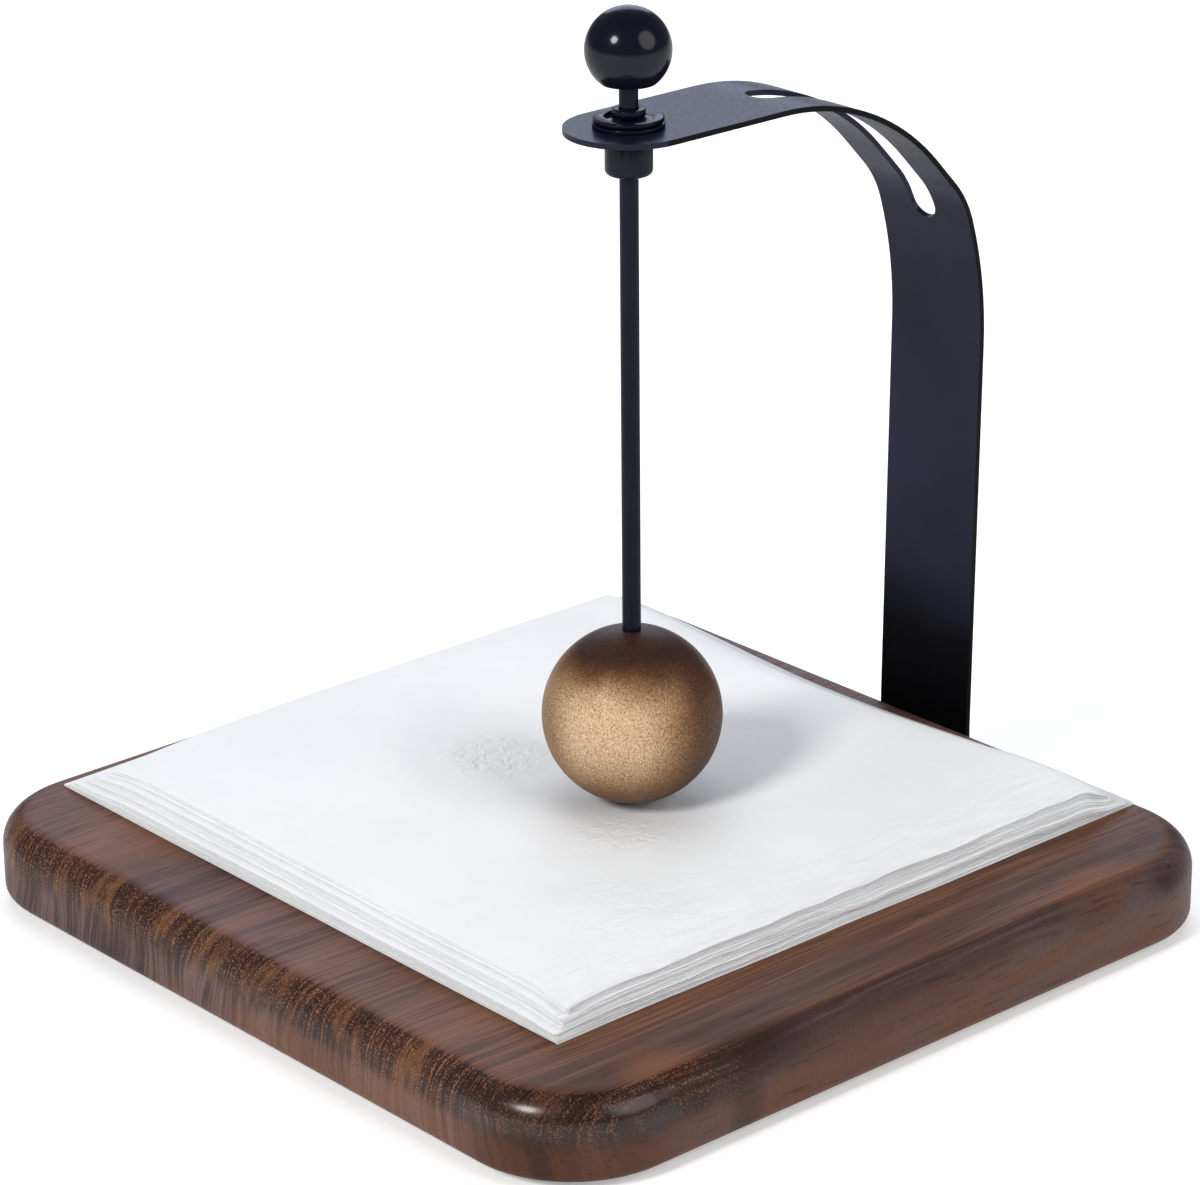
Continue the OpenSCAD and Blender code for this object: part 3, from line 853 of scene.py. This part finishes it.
class FinishSettings(bpy.types.PropertyGroup):
    """Colours of the board, the ball, the lacquer and the paper."""

    wood_dark: bpy.props.FloatVectorProperty(
        name="Dark wood",
        description="Colour of the dark growth layers",
        subtype="COLOR",
        default=linear(47, 31, 28),
    )
    wood_light: bpy.props.FloatVectorProperty(
        name="Light wood",
        description="Colour of the light growth layers",
        subtype="COLOR",
        default=linear(110, 83, 76),
    )
    wood_warm: bpy.props.FloatVectorProperty(
        name="Warm wood",
        description="Colour of the warm patches and pore flecks",
        subtype="COLOR",
        default=linear(122, 80, 52),
    )
    lacquer: bpy.props.FloatVectorProperty(
        name="Lacquer",
        description="Colour of the arm's lacquer",
        subtype="COLOR",
        default=(0.0065, 0.0080, 0.0210),
    )
    gold: bpy.props.FloatVectorProperty(
        name="Gold",
        description="Colour of the ball's paint",
        subtype="COLOR",
        default=linear(207, 177, 144),
    )
    umber: bpy.props.FloatVectorProperty(
        name="Umber",
        description="Colour sprayed over the top of the ball",
        subtype="COLOR",
        default=linear(50, 31, 29),
    )
    paper: bpy.props.FloatVectorProperty(
        name="Paper",
        description="Colour of the napkins",
        subtype="COLOR",
        default=linear(246, 248, 250),
    )


class StackSettings(bpy.types.PropertyGroup):
    """Sizes of the stack of napkins."""

    dent_depth: bpy.props.FloatProperty(
        name="Dent",
        description="Depth of the dent under the ball",
        unit="LENGTH",
        default=4.0 * MM,
    )
    tissue: bpy.props.FloatProperty(
        name="Tissue",
        description="Thickness of one ply",
        unit="LENGTH",
        default=0.23 * MM,
    )
    crease: bpy.props.FloatProperty(
        name="Creases",
        description="Height of the creases round the ball",
        unit="LENGTH",
        default=0.3 * MM,
    )
    trim: bpy.props.FloatProperty(
        name="Trim",
        description="How far the open edges miss each other",
        unit="LENGTH",
        default=0.9 * MM,
    )


class StageSettings(bpy.types.PropertyGroup):
    """Camera, floor and lights."""

    camera_at: bpy.props.FloatVectorProperty(
        name="Camera",
        description="Place of the camera",
        subtype="TRANSLATION",
        default=(0.66790, -0.58915, 0.42620),
    )
    camera_aim: bpy.props.FloatVectorProperty(
        name="Aim",
        description="Point the camera looks at",
        subtype="TRANSLATION",
        default=(-0.00353, 0.00448, 0.06975),
    )
    camera_roll: bpy.props.FloatProperty(
        name="Roll",
        description="Turn of the camera about its line of sight",
        subtype="ANGLE",
        default=math.radians(-0.5),
    )
    camera_lens: bpy.props.FloatProperty(
        name="Lens",
        description="Focal length in millimetres",
        default=135.87,
    )
    key_power: bpy.props.FloatProperty(
        name="Key light",
        description="Power of the key light in watts",
        default=49.0,
    )
    fill_power: bpy.props.FloatProperty(
        name="Side light",
        description="Power of the side light in watts",
        default=31.0,
    )
    top_power: bpy.props.FloatProperty(
        name="Top light",
        description="Power of the overhead light in watts",
        default=24.0,
    )
    back_power: bpy.props.FloatProperty(
        name="Back panel",
        description="Power of the back panel in watts",
        default=14.0,
    )
    sky: bpy.props.FloatProperty(
        name="Sky",
        description="Brightness of the room",
        default=0.17,
    )


# Operators, one for each piece or group of like pieces


# Heights between which the arm's lacquer colour and coat fade to black towards its foot, as painted
# shade
ARM_SHADE_HEIGHTS = (0.040, 0.066)
# Share of the arm's colour on the thinner lacquer of the small parts
SMALL_PART_SHADE = 0.4
# Black parts at the end of the arm, the body each rides on and the round of its edges
GUIDE_PARTS = (
    ("arm_washer", "holder", 0.18 * MM),
    ("guide_bushing", "guide", 0.15 * MM),
    ("retaining_clip", "guide", 0.15 * MM),
)
PAD_ROUND = 0.35 * MM
FLOOR_HALF = 6.0


class BuildBoard(bpy.types.Operator):
    """Finishes the wooden board, its foot pads and the screws under it"""

    bl_idname = "napkin_holder.board"
    bl_label = "Board"

    def execute(self, context):
        dress("base_board", walnut_material(context.scene.napkin_holder_finish))
        rubber = plain_material("pad rubber", linear(38, 38, 40), 0.8, grit=900.0, depth=0.00008)
        for node in PADS:
            pad = eased_copy(node, "eased_" + node, PAD_ROUND, rubber)
            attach(pad, "holder")
        dress("arm_screws", plain_material("zinc", linear(172, 174, 178), 0.32, metallic=1.0))
        return {"FINISHED"}


class BuildArm(bpy.types.Operator):
    """Finishes the strip arm and the guide, washer and clip at its end"""

    bl_idname = "napkin_holder.arm"
    bl_label = "Arm and guide"

    def execute(self, context):
        colour = context.scene.napkin_holder_finish.lacquer
        low, high = box_of("support_arm")
        half = float(high[0] - low[0]) / 2
        # The arm's lacquer darkens towards its foot as painted shade
        black = lacquer_material("arm lacquer", colour, 0.23, 0.24, foot=ARM_SHADE_HEIGHTS, half=half)
        arm = smooth_copy("support_arm", "smooth_support_arm", black)
        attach(arm, "holder")
        small = lacquer_material("guide lacquer", tinted(colour, SMALL_PART_SHADE), 0.16, 0.28)
        for node, body, width in GUIDE_PARTS:
            piece = eased_copy(node, "eased_" + node, width, small)
            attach(piece, body)
        return {"FINISHED"}


class BuildPresser(bpy.types.Operator):
    """Finishes the rod, the painted ball and the knob"""

    bl_idname = "napkin_holder.presser"
    bl_label = "Rod, ball and knob"

    def execute(self, context):
        finish = context.scene.napkin_holder_finish
        dress("press_ball", ball_material(finish))
        thin_black = tinted(finish.lacquer, SMALL_PART_SHADE)
        dress("press_rod", lacquer_material("rod lacquer", thin_black, 0.14, 0.20))
        dress("grip_knob", lacquer_material("knob gloss", thin_black, 0.13, 0.42))
        dress("knob_insert", plain_material("brass", linear(190, 155, 90), 0.3, metallic=1.0))
        return {"FINISHED"}


class BuildNapkins(bpy.types.Operator):
    """Builds the stack of folded paper napkins"""

    bl_idname = "napkin_holder.napkins"
    bl_label = "Napkins"

    def execute(self, context):
        props = context.scene.napkin_holder_stack
        paper = paper_material(context.scene.napkin_holder_finish)
        stack = Stack(props)
        for i, node in enumerate(NAPKIN_NODES):
            piece = folded_napkin(stack, i, paper, props.tissue)
            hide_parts(node)
            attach(piece, "holder")
        return {"FINISHED"}


class BuildStage(bpy.types.Operator):
    """Sets the camera, the floor and the lights"""

    bl_idname = "napkin_holder.stage"
    bl_label = "Stage"

    def execute(self, context):
        props = context.scene.napkin_holder_stage
        scene = context.scene
        scene.view_settings.view_transform = "Standard"
        s = Shader("pale floor")
        grain = s.noise(s.place(), (6.0, 6.0, 6.0), detail=2.0)
        floor_material = s.finish(
            Base_Color=s.mix(grain, (0.92, 0.92, 0.925), (0.94, 0.94, 0.945)),
            Roughness=0.9,
            Specular_IOR_Level=0.1,
            Emission_Color=(0.98, 0.99, 1.0),
            Emission_Strength=0.32,
        )
        signs = ((-1, -1), (1, -1), (1, 1), (-1, 1))
        corners = [(FLOOR_HALF * x, FLOOR_HALF * y, 0) for x, y in signs]
        floor = build_piece("floor", corners, [(0, 1, 2, 3)], floor_material, smooth=False)
        self.add_camera(scene, props)
        world = bpy.data.worlds.new("pale room")
        world.use_nodes = True
        sky = world.node_tree.nodes["Background"]
        sky.inputs["Color"].default_value = (0.93, 0.96, 1.0, 1.0)
        sky.inputs["Strength"].default_value = props.sky
        scene.world = world
        self.add_light("key light", props.key_power, 0.8, (0.14, -2.2, 1.7), (1.0, 0.99, 0.97))
        self.add_light("side light", props.fill_power, 2.0, (2.1, 0.65, 1.4), (1.0, 0.97, 0.95))
        top = self.add_light("top light", props.top_power, 2.4, (-0.7, 0.7, 2.4), (0.96, 0.98, 1.0))
        top.visible_glossy = False
        self.add_light("back panel", props.back_power, 1.6, (-1.67, 1.48, 1.05), (0.82, 0.93, 1.18))
        return {"FINISHED"}

    @staticmethod
    def add_camera(scene, props):
        """A long lens at the photograph's place, turned by its small roll."""
        place, aim = Vector(props.camera_at), Vector(props.camera_aim)
        back = (place - aim).normalized()
        level = Vector((0, 0, 1)).cross(back).normalized()
        upright = back.cross(level)
        cosine, sine = math.cos(props.camera_roll), math.sin(props.camera_roll)
        right = level * cosine + upright * sine
        up = upright * cosine - level * sine
        data = bpy.data.cameras.new("camera")
        data.lens = props.camera_lens
        data.sensor_width = 36.0
        data.sensor_fit = "HORIZONTAL"
        data.clip_start = 0.01
        data.clip_end = 50.0
        camera = bpy.data.objects.new("camera", data)
        pose = Matrix((right, up, back)).transposed().to_4x4()
        pose.translation = place
        camera.matrix_world = pose
        scene.collection.objects.link(camera)
        scene.camera = camera

    @staticmethod
    def add_light(name, power, size, place, colour):
        """A round soft light that faces the holder."""
        data = bpy.data.lights.new(name, "AREA")
        data.shape = "DISK"
        data.size = size
        data.energy = power
        data.color = colour
        light = bpy.data.objects.new(name, data)
        light.location = place
        aim = Vector((0, 0, 0.05)) - Vector(place)
        light.rotation_euler = aim.to_track_quat("-Z", "Y").to_euler()
        bpy.context.scene.collection.objects.link(light)
        return light


class NapkinHolderPanel(bpy.types.Panel):
    """Lists the pieces in the 3D view's sidebar"""

    bl_idname = "VIEW3D_PT_napkin_holder"
    bl_label = "Napkin Holder"
    bl_space_type = "VIEW_3D"
    bl_region_type = "UI"
    bl_category = "Napkin Holder"

    def draw(self, context):
        layout = self.layout
        for name in SETTINGS:
            settings = getattr(context.scene, name)
            column = layout.column()
            for key in settings.bl_rna.properties.keys():
                if key not in ("rna_type", "name"):
                    column.prop(settings, key)
        for operator in OPERATORS:
            layout.operator(operator.bl_idname)


SETTINGS = {
    "napkin_holder_finish": FinishSettings,
    "napkin_holder_stack": StackSettings,
    "napkin_holder_stage": StageSettings,
}
OPERATORS = (BuildStage, BuildBoard, BuildArm, BuildPresser, BuildNapkins)


def register():
    """Registers the settings, operators and panel."""
    for name, group in SETTINGS.items():
        bpy.utils.register_class(group)
        setattr(bpy.types.Scene, name, bpy.props.PointerProperty(type=group))
    for operator in OPERATORS:
        bpy.utils.register_class(operator)
    bpy.utils.register_class(NapkinHolderPanel)


def unregister():
    """Takes everything that register added away again."""
    bpy.utils.unregister_class(NapkinHolderPanel)
    for operator in reversed(OPERATORS):
        bpy.utils.unregister_class(operator)
    for name, group in SETTINGS.items():
        delattr(bpy.types.Scene, name)
        bpy.utils.unregister_class(group)


def main():
    """Builds every piece in order."""
    register()
    bpy.ops.napkin_holder.stage()
    bpy.ops.napkin_holder.board()
    bpy.ops.napkin_holder.arm()
    bpy.ops.napkin_holder.presser()
    bpy.ops.napkin_holder.napkins()


if __name__ == "__main__":
    main()
